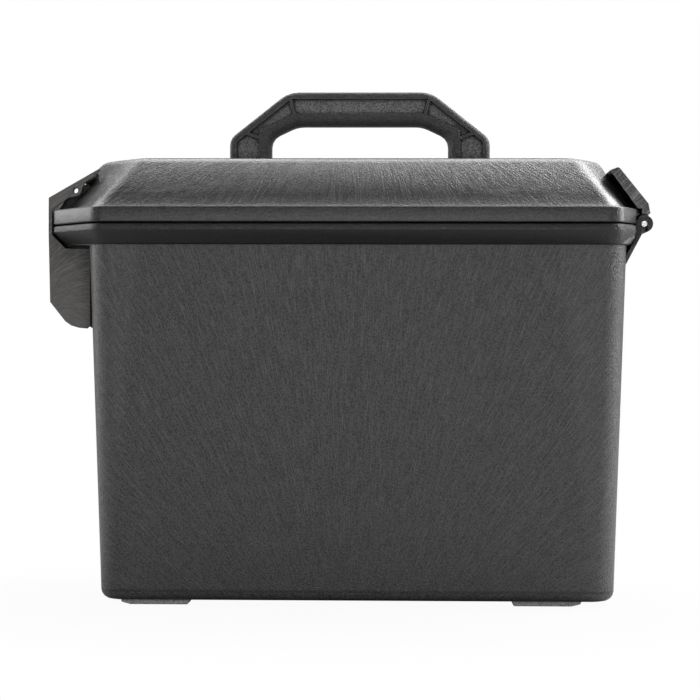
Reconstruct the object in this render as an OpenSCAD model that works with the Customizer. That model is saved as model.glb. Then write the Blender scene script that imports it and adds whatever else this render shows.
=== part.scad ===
// Hard carry case with a hinged lid, a fold-down handle and a swing-down end latch.
// Millimetres. +Z is up, +X runs to the hinge end, -X to the latch end, -Y is the front.

/* [Tub] */
// Outside length of the tub just under its rim
tub_l = 383; // [340:1:420]
// Outside width of the tub just under its rim
tub_w = 196; // [176:1:220]
// Height of the plain wall, from the underside to the rim flare
wall_h = 253.1; // [180:0.1:300]
// Thickness of the tub's walls
tub_wall = 3.5; // [2.5:0.1:4.5]
// Thickness of the tub's floor
floor_t = 4; // [3:0.5:6]
// Draft of the tub's walls in degrees
draft = 1.8; // [0.5:0.1:2.5]
// Radius of the tub's upright corners
corner_r = 18; // [14:1:24]
// Radius of the edge round the underside
bottom_r = 7; // [4:0.5:9]

/* [Rim] */
// How far the rim stands out from the long walls
rim_overhang = 10; // [8:0.5:14]
// How far the rim's long edges stop short of the tub's ends
rim_set_back = 7; // [4:0.5:12]
// How far the rim's nose stands out from the tub at the latch end
latch_nose = 29.8; // [26:0.1:34]
// Width of the latch end's nose at its tip
latch_nose_w = 128; // [120:1:136]
// Width of the hinge end's nose at its tip
hinge_nose_w = 150; // [140:1:160]
// Height of the flare under the rim
flare_h = 10; // [8:0.5:14]
// Height of the tub's upright band above the flare
tub_band_h = 4.6; // [4:0.2:7]
// Gap between the tub's rim and the lid
parting_gap = 0.8; // [0.6:0.1:1.2]
// Rounding of the rim's corners in plan
rim_r = 14; // [8:1:18]

/* [Lid] */
// Height of the lid's upright band
lid_band_h = 11; // [10:0.5:15]
// Height of the lid's crown above its band
crown_h = 36.5; // [34:0.1:42]
// How far the ends of the crown's front top edge stop short of the rim's long edges
crown_set_in = 27; // [20:0.5:34]
// How far the crown leans in over its height at the latch end
latch_lean = 32; // [28:0.5:38]
// How far the crown leans in over its height at the hinge end
hinge_lean = 20.8; // [18:0.2:26]
// Width of the crown's flat top
crown_top_w = 152; // [148:1:164]
// Least thickness of the lid's shell
lid_wall = 3.2; // [2.4:0.1:4]
// How far the rounding of the crown's top edge reaches
crown_r = 5; // [3:0.5:8]
// Height of the raised panel on the lid's top
panel_h = 0.5; // [0.3:0.1:1.2]

/* [Seal] */
// Thickness of the tub's sealing tongue
tongue_t = 2.5; // [2:0.1:3]
// Height of the tongue above the rim
tongue_h = 3; // [2:0.2:4]
// Height of the gasket
gasket_h = 3.4; // [2.6:0.2:4]

/* [Handle] */
// Outside length of the handle over its legs
handle_l = 194.4; // [170:0.2:220]
// Height of the raised handle above the lid
handle_rise = 55.4; // [50:0.2:56]
// Thickness of the handle from front to back
handle_t = 24; // [20:0.5:26]
// Depth of the grip from top to underside
grip_h = 24.9; // [22:0.1:28]
// Width of each leg
leg_w = 31; // [28:0.1:36]
// Length of each sloping shoulder, along the case
shoulder_l = 44; // [30:1:60]
// Depth of the moulded pockets in each face
pocket_d = 5; // [3:0.5:7]
// Diameter of the handle's pivot pins
handle_pin_d = 6; // [5:0.5:7]

/* [Latch] */
// Width of the latch lever
latch_w = 126; // [116:1:130]
// Thickness of the lever's face
latch_t = 2.5; // [2:0.1:3.5]
// Thickness of the lever's side walls
cheek_t = 3.5; // [3:0.1:4]
// How far the latch pin lies below the rim flare
pin_drop = 50; // [40:0.5:60]
// How far the latch pin stands out from the tub's end
pin_stand = 10.5; // [9.5:0.5:12]
// Diameter of the latch pin
latch_pin_d = 5; // [4:0.5:6]
// Diameter of the padlock hole
padlock_d = 4; // [3.5:0.1:5]

/* [Hinge] */
// Radius of the hinge knuckles
knuckle_r = 6.1; // [5.6:0.1:7]
// Distance of the hinge axis from the tub's end
hinge_offset = 12.7; // [11.5:0.1:15]
// Width of the hinge over its outer knuckles
hinge_w = 164; // [150:1:172]
// Diameter of the hinge pin
hinge_pin_d = 4; // [3:0.5:5]
// Thickness of the lid's hinge leaf
leaf_t = 6.5; // [6:0.1:8]

/* [Feet] */
// Height of the feet
foot_h = 3.4; // [2.4:0.1:6]
// Length of each foot
foot_l = 48.5; // [30:0.5:60]
// Width of each foot
foot_w = 22; // [16:1:30]
// Distance from the ends of the tub's underside to the feet
foot_set_in = 19.5; // [12:0.5:60]

/* [Hidden] */

// Clearances
slide_gap = 0.4;      // between moulded faces that pass each other
running_gap = 0.08;   // radial, a turning piece on its pin
seat_gap = 0.02;      // radial, a pin in the piece that holds it
eps = 0.01;
over = 1;             // how far a cut runs past the face that it opens

// Shades of the moulded, rubber and metal pieces
moulded = [0.17, 0.17, 0.175];
moulded_dark = [0.13, 0.13, 0.135];
rubber = [0.08, 0.08, 0.085];
steel = [0.72, 0.72, 0.74];

// Heights
z_under = foot_h;
z_flare = z_under + wall_h;
z_band = z_flare + flare_h;
z_rim = z_band + tub_band_h;
z_lid = z_rim + parting_gap;
z_crown = z_lid + lid_band_h;
z_top = z_crown + crown_h;
z_tongue = z_rim + tongue_h;
hinge_lift = 0.4;
hinge_z = z_lid + hinge_lift;

// Half sizes and reaches in plan, from the middle of the tub
half_l = tub_l / 2;
half_w = tub_w / 2;
rim_half_l = half_l - rim_set_back;
rim_half_w = half_w + rim_overhang;
latch_nose_half_w = latch_nose_w / 2;
hinge_nose_half_w = hinge_nose_w / 2;
latch_nose_x = half_l + latch_nose;
hinge_x = half_l + hinge_offset;
hinge_room = 0.7;
hinge_nose_x = hinge_x - 2;

// The frame's origin is in the middle of the whole case, latch and hinge included
latch_room = 0.5;
latch_face_x = latch_nose_x + latch_room;
latch_reach = latch_face_x + latch_t;
hinge_reach = hinge_x + knuckle_r;
frame_shift = (latch_reach - hinge_reach) / 2;

// Outline helpers

// Point where the edges a-b and b-c meet once they are moved to their left by d1 and d2
function moved_corner(a, b, c, d1, d2) =
    let (
        u = (b - a) / norm(b - a),
        v = (c - b) / norm(c - b),
        p = b + d1 * [-u.y, u.x],
        q = b + d2 * [-v.y, v.x],
        cross = u.x * v.y - u.y * v.x,
        t = ((q.x - p.x) * v.y - (q.y - p.y) * v.x) / cross
    )
    p + t * u;

// A polygon with each edge moved inwards; edge i runs from point i to the next
function inset(points, d) =
    let (n = len(points))
    [for (i = [0:n - 1])
        let (before = (i + n - 1) % n)
        moved_corner(points[before], points[i], points[(i + 1) % n], d[before], d[i])];

// A polygon with each corner rounded to its own radius by an arc of the given steps
function rounded(points, radii, steps = 4) =
    let (n = len(points))
    [for (i = [0:n - 1])
        let (
            b = points[i],
            u = (points[(i + n - 1) % n] - b) / norm(points[(i + n - 1) % n] - b),
            v = (points[(i + 1) % n] - b) / norm(points[(i + 1) % n] - b),
            half = acos(u * v) / 2,
            middle = b + (u + v) / norm(u + v) * radii[i] / sin(half),
            from = b + u * radii[i] / tan(half) - middle,
            to = b + v * radii[i] / tan(half) - middle,
            turn_raw = atan2(to.y, to.x) - atan2(from.y, from.x),
            turn = turn_raw > 180 ? turn_raw - 360 : turn_raw < -180 ? turn_raw + 360 : turn_raw
        )
        for (k = [0:steps])
            let (angle = turn * k / steps)
            middle + [
                from.x * cos(angle) - from.y * sin(angle),
                from.x * sin(angle) + from.y * cos(angle)
            ]];

// An outline with eight corners, counter-clockwise from the front left: two long sides with a nose
// at each end, which reaches a tip of its own width
function eight_sided(long_l, long_w, left_tip, right_tip, left_w, right_w) = [
    [-long_l, -long_w], [long_l, -long_w], [right_tip, -right_w], [right_tip, right_w],
    [long_l, long_w], [-long_l, long_w], [-left_tip, left_w], [-left_tip, -left_w],
];

// A rectangle with round corners, as an eight-sided outline
cut_share = 2 - sqrt(2); // a quarter circle of radius 1 leaves this much of each side
function round_rectangle(l, w, r) =
    rounded(
        eight_sided(l - cut_share * r, w, l, l, w - cut_share * r, w - cut_share * r),
        [for (i = [0:7]) r - eps]
    );

// A solid through outlines of equal point count, given as [height, outline]. The end faces are one polygon,
// or, for an arch, a strip of quads between its two sides, which start either side of point strip
module loft(sections, strip = 0) {
    n = len(sections[0][1]);
    last = len(sections) - 1;
    points = [for (s = sections) for (p = s[1]) [p.x, p.y, s[0]]];
    sides = [for (k = [0:last - 1]) for (i = [0:n - 1])
        let (a = k * n + i, b = k * n + (i + 1) % n)
        for (face = [[a, a + n, b + n], [a, b + n, b]]) face];
    ends = strip == 0
        ? [[for (i = [0:n - 1]) i]]
        : [for (k = [0:n / 2 - 2])
            [strip + k, strip + k + 1, (strip - 2 - k + n) % n, (strip - 1 - k + n) % n]];
    far_ends = [for (face = ends) [for (i = [len(face) - 1:-1:0]) last * n + face[i]]];
    polyhedron(points, concat(ends, far_ends, sides), convexity = 6);
}

// Cylinder along Y through the point [x, z]
module across(x, z, r, y0, y1) {
    translate([x, y1, z]) rotate([90, 0, 0]) cylinder(r = r, h = y1 - y0, $fn = 48);
}

// Prism of an outline drawn in X and Z, from y0 to y1
module side_prism(y0, y1) {
    translate([0, y1, 0]) rotate([90, 0, 0]) linear_extrude(y1 - y0) children();
}

// Both mirror images about the middle of the case
module both_sides() {
    children();
    mirror([0, 1, 0]) children();
}

// Places a piece in the frame of the whole case
module placed() {
    translate([frame_shift, 0, 0]) children();
}

// Tub

// Half sizes of the tub's outside at a height: the walls lean out by the draft
function wall_lean(z) = (z - z_flare) * tan(draft);
function wall_outline(z, d) =
    round_rectangle(half_l + wall_lean(z) - d, half_w + wall_lean(z) - d, max(corner_r - d, 2));

// The loop of the wall at the rim, which the tongue, groove and gasket follow
function seal_loop(d) = wall_outline(z_flare, d);

function rim_outline(d) =
    rounded(
        inset(
            eight_sided(
                rim_half_l, rim_half_w, latch_nose_x, hinge_nose_x, latch_nose_half_w, hinge_nose_half_w
            ),
            [for (i = [0:7]) d]
        ),
        [for (i = [0:7]) rim_r]
    );

// A narrow ledge runs round the foot of the flare, and widens into the flat underside of the latch end's nose
nose_under = 2.5;
nose_tuck = 9;
ledge_rise = 0.8;
band_edge = 0.7;
function nose_underside() =
    rounded(
        eight_sided(
            rim_half_l - nose_under, half_w + nose_under,
            latch_nose_x - nose_tuck, half_l + nose_under,
            latch_nose_half_w - nose_under, half_w + nose_under - cut_share * corner_r
        ),
        [for (i = [0:7]) rim_r]
    );

module tub_outside() {
    edge_steps = 4;
    edge = [for (k = [0:edge_steps])
        let (a = 90 * k / edge_steps, z = z_under + bottom_r * (1 - cos(a)))
        [z, wall_outline(z, bottom_r * (1 - sin(a)))]];
    loft(concat(edge, [
        [z_flare, wall_outline(z_flare, 0)],
        [z_flare + ledge_rise, nose_underside()],
        [z_band, rim_outline(0)],
        [z_rim - band_edge, rim_outline(0)],
        [z_rim, rim_outline(band_edge)],
    ]));
}

module tub_inside() {
    inner_r = max(bottom_r - tub_wall, 1);
    z_floor = z_under + floor_t;
    edge_steps = 3;
    edge = [for (k = [0:edge_steps])
        let (a = 90 * k / edge_steps, z = z_floor + inner_r * (1 - cos(a)))
        [z, wall_outline(z, tub_wall + inner_r * (1 - sin(a)))]];
    loft(concat(edge, [
        [z_flare, wall_outline(z_flare, tub_wall)],
        [z_tongue + over, wall_outline(z_flare, tub_wall)],
    ]));
}

// The tongue is a little thinner than the wall that carries it, and stands on its inner edge
tongue_in = tub_wall - eps;
tongue_out = tongue_in - tongue_t;

module tongue() {
    translate([0, 0, z_rim - over])
        linear_extrude(tongue_h + over)
            difference() {
                polygon(seal_loop(tongue_out));
                polygon(seal_loop(tongue_in));
            }
}

// Hinge: the tub has the outer and middle knuckles, and the lid's leaf has the two between them
outer_knuckle = 14;
middle_knuckle = 16;
hinge_half_w = hinge_w / 2;
tub_knuckles = [
    [-hinge_half_w, -hinge_half_w + outer_knuckle],
    [-middle_knuckle / 2, middle_knuckle / 2],
    [hinge_half_w - outer_knuckle, hinge_half_w],
];
leaf_knuckles = [
    [-hinge_half_w + outer_knuckle + slide_gap, -middle_knuckle / 2 - slide_gap],
    [middle_knuckle / 2 + slide_gap, hinge_half_w - outer_knuckle - slide_gap],
];

// The arm that carries a tub knuckle, from the rim to the hinge axis
arm_root = 12.6;
arm_drop = 12;
arm_under = 1.6;
module tub_knuckle(span) {
    across(hinge_x, hinge_z, knuckle_r, span[0], span[1]);
    side_prism(span[0], span[1])
        polygon([
            [hinge_nose_x - arm_root, z_rim - arm_drop],
            [hinge_x - knuckle_r / 3, hinge_z - knuckle_r - arm_under],
            [hinge_x, hinge_z - knuckle_r + eps],
            [hinge_x, z_rim - eps],
            [hinge_nose_x - arm_root, z_rim - eps],
        ]);
}

// The sloping web below the hinge, which ties the knuckles to the end wall
web_t = 2.6;
web_drop = 10.5;
web_foot_z = z_flare - web_drop;
module hinge_web() {
    web_foot_x = half_l + wall_lean(web_foot_z);
    web_head = [hinge_x - knuckle_r / 4, hinge_z - knuckle_r - arm_under / 2];
    side_prism(-hinge_half_w, hinge_half_w)
        polygon([
            [web_foot_x - tub_wall / 2, web_foot_z],
            [web_foot_x, web_foot_z - web_t],
            web_head,
            web_head + [-web_t, web_t / 2],
        ]);
}

// Latch pivot: two upright ribs on the end wall carry the pin near their feet and brace the nose
latch_half_w = latch_w / 2;
rib_t = 8;
rib_out = latch_half_w - cheek_t - slide_gap;
pin_x = -(half_l + pin_stand);
pin_z = z_flare - pin_drop;
rib_lobe_r = 6.2;
rib_reach = 5.5;
rib_foot = 12;
gusset_drop = 14;

module latch_rib() {
    wall_x = -(half_l + wall_lean(pin_z)) + tub_wall / 2;
    face_x = -(half_l + rib_reach);
    side_prism(rib_out - rib_t, rib_out) {
        polygon([
            [wall_x, pin_z - rib_foot],
            [wall_x, z_flare + nose_under],
            [nose_tuck + nose_under - latch_nose_x, z_flare + nose_under],
            [face_x, z_flare - gusset_drop],
            [face_x, pin_z],
            [face_x, pin_z - rib_foot + rib_reach],
        ]);
        polygon([
            [wall_x, pin_z - rib_lobe_r],
            [wall_x, pin_z + rib_lobe_r * 2],
            [pin_x, pin_z + rib_lobe_r],
            [pin_x, pin_z - rib_lobe_r],
        ]);
    }
    across(pin_x, pin_z, rib_lobe_r, rib_out - rib_t, rib_out);
}

module tub() {
    color(moulded) difference() {
        union() {
            tub_outside();
            tongue();
            for (span = tub_knuckles) tub_knuckle(span);
            hinge_web();
            both_sides() latch_rib();
        }
        tub_inside();
        // Bore for the hinge pin, open below in the outer knuckles
        across(hinge_x, hinge_z, hinge_pin_d / 2 + seat_gap, -hinge_half_w - over, hinge_half_w + over);
        slot_w = hinge_pin_d + 2 * seat_gap;
        both_sides()
            translate([hinge_x - slot_w / 2, -hinge_half_w - over, hinge_z - knuckle_r - arm_under - over])
                cube([slot_w, outer_knuckle + over, knuckle_r + arm_under + over]);
        // Room for the leaf's knuckles to turn
        for (span = leaf_knuckles)
            across(hinge_x, hinge_z, knuckle_r + hinge_room - eps, span[0] - slide_gap, span[1] + slide_gap);
        across(pin_x, pin_z, latch_pin_d / 2 + seat_gap, -half_w, half_w);
    }
}

// Lid

// The crown starts as wide as the band and narrows to the top; its ends lean in over the noses
crown_step = 1;
latch_ledge = 3;
hinge_ledge = 7;
latch_tip_x = latch_nose_x - latch_ledge;
hinge_tip_x = hinge_nose_x - hinge_ledge;
hinge_crown_w = hinge_nose_half_w - 9;
crown_half_l = rim_half_l - crown_set_in;
crown_half_w = crown_top_w / 2;
crown_tip_w = crown_half_w * 0.62;
crown_corner_r = 12;

crown_base = eight_sided(
    rim_half_l, rim_half_w - crown_step, latch_tip_x, hinge_tip_x, crown_tip_w, hinge_crown_w
);
crown_top = eight_sided(
    crown_half_l, crown_half_w, latch_tip_x - latch_lean, hinge_tip_x - hinge_lean, crown_tip_w, crown_tip_w
);
crown_corner_radii = [for (i = [0:7]) crown_corner_r];

// The crown's outline at a share of its height; the long slopes bulge a little between band and top
crown_bulge = 1.4;
panel_margin = 6.5;
long_sides = [1, 0, 0, 0, 1, 0, 0, 0];
function crown_outline(t, d) =
    rounded(
        inset(
            crown_base * (1 - t) + crown_top * t,
            [for (i = [0:7]) d - crown_bulge * sin(180 * t) * long_sides[i]]
        ),
        crown_corner_radii
    );

module lid_outside() {
    loft([
        [z_lid, rim_outline(band_edge)],
        [z_lid + band_edge, rim_outline(0)],
        [z_crown - band_edge, rim_outline(0)],
        [z_crown, rim_outline(band_edge)],
    ]);
    slope_steps = 4;
    edge_steps = 4;
    // The rounded top edge starts this far down the slope
    edge_h = crown_r * crown_h / norm([crown_h, rim_half_w - crown_step - crown_half_w]);
    slope = [for (k = [0:slope_steps])
        let (t = (1 - edge_h / crown_h) * k / slope_steps)
        [z_crown + crown_h * t, crown_outline(t, 0)]];
    edge = [for (k = [1:edge_steps])
        let (s = k / edge_steps, drop = edge_h * (1 - s) * (1 - s))
        [z_top - drop, crown_outline(1 - drop / crown_h, crown_r * s * s)]];
    loft(concat([[z_crown - over, crown_outline(0, 0)]], slope, edge));
    // The raised panel on the top
    loft([
        [z_top - over, crown_outline(1, panel_margin)],
        [z_top + panel_h / 2, crown_outline(1, panel_margin)],
        [z_top + panel_h, crown_outline(1, panel_margin + panel_h / 2)],
    ]);
}

// Hollow of the lid: straight past the seal, then narrowing under the crown
groove_out = tongue_out - 0.7;
groove_in = tongue_in + 0.9;
hollow_in = groove_in + lid_wall;
hollow_drop = 3;
module lid_inside() {
    roof_z = z_top - lid_wall;
    roof_margin = lid_wall + hollow_drop;
    loft([
        [z_lid - over, seal_loop(hollow_in)],
        [z_crown + 2, seal_loop(hollow_in)],
        [roof_z, rounded(inset(crown_top, [for (i = [0:7]) roof_margin]), [for (i = [0:7]) 6])],
    ]);
}

// The groove over the tongue, which holds the gasket
z_groove = z_tongue + slide_gap + gasket_h;
module gasket_groove() {
    translate([0, 0, z_lid - over])
        linear_extrude(z_groove - z_lid + over)
            difference() {
                polygon(seal_loop(groove_out));
                polygon(seal_loop(groove_in));
            }
}

// Handle well: the handle folds back into it about an axis along the case
handle_half_l = handle_l / 2;
well_gap = 1.6;
well_floor_gap = 1;
handle_z = z_top - handle_t / 2 - 0.5;
handle_reach = z_top + handle_rise - handle_z;
z_well = handle_z - handle_t / 2 - well_floor_gap;
well_half_l = handle_half_l + well_gap;
well_front = -handle_t / 2 - well_gap;
well_back = handle_reach + well_gap;
lug_t = 6;
lug_r = 9;
lug_x = handle_half_l - leg_w - slide_gap;
pin_out = handle_half_l + well_gap + lid_wall + 3;

module well_shape(grow) {
    r = 6 + grow;
    x = well_half_l + grow - r;
    y0 = well_front - grow + r;
    y1 = well_back + grow - r;
    for (sx = [-1, 1])
        for (y = [y0, y1])
            translate([sx * x, y]) circle(r = r, $fn = 32);
    translate([-x - r, y0]) square([2 * (x + r), y1 - y0]);
    translate([-x, y0 - r]) square([2 * x, y1 - y0 + 2 * r]);
}

module well_shell() {
    translate([0, 0, z_well - lid_wall])
        linear_extrude(z_top - lid_wall / 2 - z_well + lid_wall) well_shape(lid_wall);
    // Bosses round the outer ends of the pivot pins
    for (side = [-1, 1])
        translate([side * (well_half_l + lid_wall / 2), 0, handle_z])
            rotate([0, side * 90, 0]) cylinder(r = lug_r, h = pin_out - well_half_l, $fn = 48);
}

module well_cut() {
    translate([0, 0, z_well]) linear_extrude(z_top + panel_h - z_well + over) well_shape(0);
}

module handle_lugs() {
    for (side = [-1, 1])
        translate([side > 0 ? lug_x - lug_t : -lug_x, 0, 0]) {
            translate([0, 0, handle_z]) rotate([0, 90, 0]) cylinder(r = lug_r, h = lug_t, $fn = 48);
            translate([0, -lug_r, z_well - over]) cube([lug_t, 2 * lug_r, handle_z - z_well + over]);
        }
}

// The latch end's slope: X at a height above the band
function latch_slope_x(rise) = -latch_tip_x + rise * latch_lean / crown_h;

// Latch catch: a seat across the slope for the lever's bar, and a slot in the seat for its lip
module bar_seat() {
    step_x = tip_x + slide_gap;
    side_prism(-latch_half_w - slide_gap, latch_half_w + slide_gap)
        polygon([
            [step_x, arm_edge_z(step_x) - bar_t - slide_gap],
            [step_x, z_top + over],
            [-latch_reach, z_top + over],
            [-latch_reach, arm_edge_z(-latch_reach) - bar_t - slide_gap],
        ]);
}

module catch_slot() {
    slot_half_w = lip_half_w + slide_gap;
    translate([tip_x - lip_t - slide_gap, -slot_half_w, lip_z - slide_gap])
        cube([lip_t + 2 * slide_gap, 2 * slot_half_w, lip_h + bar_t]);
}

// Padlock ears: they stand beside the lever's arms and share their holes
padlock_rise = 14.3;
padlock_in = 0.9;
padlock_x = latch_slope_x(padlock_rise) + padlock_in;
padlock_z = z_crown + padlock_rise;
ear_t = 5;
ear_r = 4;
ear_out = latch_half_w - cheek_t - slide_gap;
module padlock_ear() {
    across(padlock_x, padlock_z, ear_r, ear_out - ear_t, ear_out);
    side_prism(ear_out - ear_t, ear_out)
        polygon([
            [padlock_x - ear_r, padlock_z],
            [-latch_tip_x, z_crown - over],
            [padlock_x + 3 * ear_r, z_crown - over],
            [padlock_x + 2.4 * ear_r, padlock_z + 1.2 * ear_r],
            [padlock_x, padlock_z + ear_r - eps],
        ]);
}

// Seats and holes of the screws that hold the hinge leaf, square to the end slope
slope_base = [hinge_tip_x, z_crown];
slope_along = [-hinge_lean, crown_h] / norm([hinge_lean, crown_h]);
slope_out = [slope_along.y, -slope_along.x];
screw_r = 2;
screw_head_r = 4;
screw_head_h = 2.6;
screw_grip = 5.5;
screw_bite = 6;
screw_reach = 30;
screw_rows = [12, 25];
screw_spread = 9;
screw_places = [for (along = screw_rows) for (y = [-screw_spread, screw_spread]) [along, y]];

module at_screws() {
    for (p = screw_places)
        translate([slope_base.x + slope_along.x * p[0], p[1], slope_base.y + slope_along.y * p[0]])
            rotate([0, atan2(slope_out.x, slope_out.y), 0]) children();
}

module lid() {
    color(moulded) difference() {
        union() {
            difference() {
                union() {
                    difference() {
                        lid_outside();
                        bar_seat();
                    }
                    both_sides() padlock_ear();
                }
                lid_inside();
            }
            well_shell();
        }
        difference() {
            well_cut();
            handle_lugs();
        }
        gasket_groove();
        catch_slot();
        // Hollow round the hinge knuckles
        across(
            hinge_x, hinge_z, knuckle_r + 2 * hinge_room, -hinge_half_w - slide_gap, hinge_half_w + slide_gap
        );
        both_sides() across(padlock_x, padlock_z, padlock_d / 2, ear_out - ear_t - over, ear_out + over);
        rotate([0, 90, 0])
            translate([-handle_z, 0, -pin_out])
                cylinder(r = handle_pin_d / 2 + seat_gap, h = 2 * pin_out, $fn = 48);
        at_screws() {
            translate([0, 0, -screw_grip - screw_reach])
                cylinder(r = screw_head_r + slide_gap, h = screw_reach, $fn = 32);
            translate([0, 0, -screw_grip - over])
                cylinder(r = screw_r + seat_gap, h = screw_reach, $fn = 32);
        }
    }
}

module lid_gasket() {
    side_gap = 0.2;
    color(rubber)
        translate([0, 0, z_groove - gasket_h])
            linear_extrude(gasket_h)
                difference() {
                    polygon(seal_loop(groove_out + side_gap));
                    polygon(seal_loop(groove_in - side_gap));
                }
}

// Hinge leaf: a wide hollow plate over the lid's end slope, with knuckles at its foot and a pad in the
// middle that fills the wedge between the plate and the slope
leaf_half_w = hinge_half_w - 1.5;
leaf_skin = 2.6;
leaf_cheek = 3.5;
leaf_pad_w = 15;
leaf_foot_gap = 1.1;
leaf_edge = 1.5;
leaf_rise = 27.5;
leaf_swell = 1.7;
leaf_heel = [hinge_x + knuckle_r - 1.7, hinge_z + knuckle_r + leaf_foot_gap];
leaf_head = slope_base + [-hinge_lean, crown_h] * leaf_rise / crown_h + slope_out * slide_gap;
leaf_foot = [hinge_nose_x - 2.6, z_crown + slide_gap];
leaf_along = (leaf_head - leaf_foot) / norm(leaf_head - leaf_foot);
leaf_out = [leaf_along.y, -leaf_along.x];
leaf_len = norm(leaf_head - leaf_foot);

// Points of the leaf's profile, along the plate and out from its inner face
function leaf_point(along, out) = leaf_foot + leaf_along * along + leaf_out * out;

module leaf_profile() {
    polygon([
        leaf_foot,
        [hinge_nose_x + slide_gap, z_crown + slide_gap],
        [hinge_nose_x + slide_gap, leaf_heel.y],
        leaf_heel,
        leaf_point(-leaf_swell, leaf_t + leaf_swell),
        leaf_point(leaf_len - 2 * leaf_edge, leaf_t),
        leaf_point(leaf_len - leaf_edge, leaf_t - leaf_edge / 2),
        leaf_head,
    ]);
}

module leaf_pad() {
    polygon([
        slope_base + slope_out * seat_gap + slope_along * slide_gap,
        leaf_foot,
        leaf_point(leaf_len / 2, leaf_t / 2),
        leaf_head,
        leaf_head - slope_out * (slide_gap - seat_gap),
    ]);
}

module leaf_hollow() {
    polygon([
        leaf_point(leaf_skin, -over),
        leaf_point(leaf_skin, leaf_t - leaf_skin),
        leaf_point(leaf_len - leaf_skin, leaf_t - leaf_skin),
        leaf_point(leaf_len - leaf_skin, -over),
    ]);
}

module hinge_leaf() {
    color(moulded_dark) difference() {
        union() {
            side_prism(-leaf_half_w, leaf_half_w) leaf_profile();
            side_prism(-leaf_pad_w, leaf_pad_w) leaf_pad();
            for (span = leaf_knuckles) {
                across(hinge_x, hinge_z, knuckle_r, span[0], span[1]);
                side_prism(span[0], span[1])
                    polygon([
                        [hinge_x - knuckle_r + eps, hinge_z],
                        [hinge_x + knuckle_r - eps, hinge_z],
                        leaf_heel + [0, eps],
                        [hinge_x - 1, hinge_z + knuckle_r + leaf_foot_gap + eps],
                    ]);
            }
        }
        both_sides() side_prism(leaf_pad_w, leaf_half_w - leaf_cheek) leaf_hollow();
        across(hinge_x, hinge_z, hinge_pin_d / 2 + running_gap, -hinge_half_w, hinge_half_w);
        at_screws() cylinder(r = screw_r + seat_gap, h = screw_bite + 0.5, $fn = 32);
    }
}

module hinge_leaf_screws() {
    drive_r = 1.5;
    drive_d = 1.4;
    color(steel) at_screws() difference() {
        union() {
            translate([0, 0, -screw_grip - screw_head_h])
                cylinder(r = screw_head_r, h = screw_head_h, $fn = 32);
            translate([0, 0, -screw_grip - eps])
                cylinder(r = screw_r, h = screw_grip + screw_bite, $fn = 32);
        }
        translate([0, 0, -screw_grip - screw_head_h - over])
            cylinder(r = drive_r, h = drive_d + over, $fn = 6);
    }
}

module hinge_pin() {
    pin_half = hinge_half_w - 1.5;
    color(steel) across(hinge_x, hinge_z, hinge_pin_d / 2, -pin_half, pin_half);
}

// Latch lever: a face with side walls, two arms up beside the lid, and a bar with a lip near the tips
bend_rise = 9;
arm_rise = 30.4;
arm_past = 4.6;
bend_z = z_crown + bend_rise;
arm_tip = [latch_slope_x(arm_rise) + arm_past, z_crown + arm_rise];
arm_slope = (arm_tip.y - bend_z) / (arm_tip.x + latch_reach);
function arm_edge_z(x) = bend_z + (x + latch_reach) * arm_slope;
face_lean = 1.2;
chin_rise = 9.8;
lever_chin = [-latch_reach + face_lean, pin_z + chin_rise];
lever_elbow = [pin_x - 9.9, pin_z - 4.3];
lever_toe = (lever_chin + lever_elbow) / 2;
lever_base_z = pin_z - 9.4;
lever_back_x = pin_x + 8.1;
lever_corner = 2.2;
lobe_r = 4.4;
nose_room = 1.5;
pin_cover = 1.2;
bar_l = 8;
bar_t = 4;
tip_x = arm_tip.x - bar_t;
lip_half_w = 15;
lip_t = 4;
lip_h = 3.2;
lip_z = arm_edge_z(tip_x - lip_t) - bar_t - lip_h;

// Side walls below the rim: up under the nose's sloping edge, and down round the pin
module lever_cheek() {
    top_z = z_flare - nose_room;
    polygon([
        [-latch_reach, z_band],
        lever_chin,
        lever_elbow,
        lever_elbow + [4.2, -2.9],
        [pin_x, lever_base_z + 0.5],
        [lever_back_x - lever_corner, lever_base_z],
        [lever_back_x, lever_base_z + lever_corner],
        [lever_back_x, top_z],
        [nose_tuck - latch_nose_x + slide_gap, top_z],
        [-latch_face_x, z_band - nose_room],
    ]);
}

// Arms above the rim, with a lobe round the padlock hole
module lever_arm() {
    polygon([
        [-latch_reach, bend_z],
        [-latch_reach, z_crown + slide_gap],
        [-latch_face_x + slide_gap, z_crown + slide_gap],
        [padlock_x - lobe_r - 0.7, padlock_z - lobe_r - 0.9],
        [padlock_x - lobe_r + 0.2, padlock_z - lobe_r - 0.6],
        [padlock_x, padlock_z - lobe_r + eps],
        [padlock_x + lobe_r - eps, padlock_z],
        [padlock_x + lobe_r + 2.6, padlock_z + lobe_r + 2.1],
        [padlock_x + lobe_r + 3.9, padlock_z + lobe_r + 3.1],
        arm_tip + [0, -1.6],
        arm_tip,
    ]);
}

module lever_face() {
    polygon([
        [-latch_reach, bend_z],
        [-latch_reach, z_band],
        lever_chin,
        lever_toe,
        lever_toe + [1.9, 1.7],
        lever_chin + [latch_t, 1.2],
        [-latch_face_x, z_band],
        [-latch_face_x, arm_edge_z(-latch_face_x)],
    ]);
}

module lever_bar() {
    polygon([
        [tip_x - bar_l, arm_edge_z(tip_x - bar_l)],
        [tip_x - bar_l, arm_edge_z(tip_x - bar_l) - bar_t],
        [tip_x, arm_edge_z(tip_x) - bar_t],
        [tip_x, arm_edge_z(tip_x)],
    ]);
}

module lever_lip() {
    polygon([
        [tip_x - lip_t, arm_edge_z(tip_x - lip_t) - bar_t / 2],
        [tip_x - lip_t, lip_z],
        [tip_x, lip_z],
        [tip_x, arm_edge_z(tip_x) - bar_t / 2],
    ]);
}

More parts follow.
